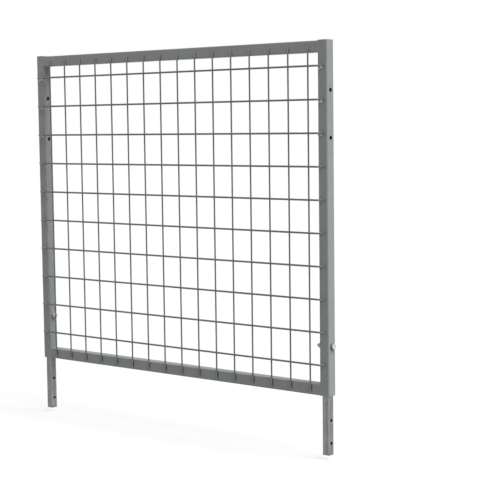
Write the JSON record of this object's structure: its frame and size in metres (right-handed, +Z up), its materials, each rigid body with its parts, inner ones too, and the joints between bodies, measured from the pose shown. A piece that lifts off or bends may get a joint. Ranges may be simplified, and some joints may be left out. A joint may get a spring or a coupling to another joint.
{
  "type": "wire mesh partition panel",
  "caption": "Welded square tube frame with a wire mesh on its face, bolt holes in the posts, and square legs clamped in the posts that slide for levelling.",
  "frame": {"origin": "on the floor under the panel's middle, halfway between the mesh's front and the frame's back, with the legs at mid travel", "axes": "+X along the panel to the right as seen from the mesh side, +Y from the mesh to the back, +Z up"},
  "size_m": [1.2788, 0.046, 1.255],
  "materials": {
    "frame_paint": "satin grey powder coat",
    "mesh_paint": "satin grey powder coat on wire",
    "leg_zinc": "dull mottled galvanised steel",
    "fastener_zinc": "bright zinc plate",
    "cap_plastic": "moulded grey plastic"
  },
  "bodies": {
    "panel": {"bolt_washers": "fastener_zinc", "bottom_rail": "frame_paint", "horizontal_wire_01": "mesh_paint", "horizontal_wire_02": "mesh_paint", "horizontal_wire_03": "mesh_paint", "horizontal_wire_04": "mesh_paint", "horizontal_wire_05": "mesh_paint", "horizontal_wire_06": "mesh_paint", "horizontal_wire_07": "mesh_paint", "horizontal_wire_08": "mesh_paint", "horizontal_wire_09": "mesh_paint", "horizontal_wire_10": "mesh_paint", "left_post": "frame_paint", "left_post_cap": "cap_plastic", "leg_bolts": "fastener_zinc", "leg_nuts": "fastener_zinc", "right_post": "frame_paint", "right_post_cap": "cap_plastic", "top_rail": "frame_paint", "vertical_wire_01": "mesh_paint", "vertical_wire_02": "mesh_paint", "vertical_wire_03": "mesh_paint", "vertical_wire_04": "mesh_paint", "vertical_wire_05": "mesh_paint", "vertical_wire_06": "mesh_paint", "vertical_wire_07": "mesh_paint", "vertical_wire_08": "mesh_paint", "vertical_wire_09": "mesh_paint", "vertical_wire_10": "mesh_paint", "vertical_wire_11": "mesh_paint", "vertical_wire_12": "mesh_paint", "vertical_wire_13": "mesh_paint", "vertical_wire_14": "mesh_paint", "vertical_wire_15": "mesh_paint", "vertical_wire_16": "mesh_paint"},
    "left_leg": {"left_leg": "leg_zinc"},
    "right_leg": {"right_leg": "leg_zinc"}
  },
  "joints": [
    {"name": "left_leg_slide", "type": "slide", "parent": "panel", "child": "left_leg", "axis": [0, 0, 1], "range_m": [-0.0145, 0.0145]},
    {"name": "right_leg_slide", "type": "slide", "parent": "panel", "child": "right_leg", "axis": [0, 0, 1], "range_m": [-0.0145, 0.0145]}
  ]
}
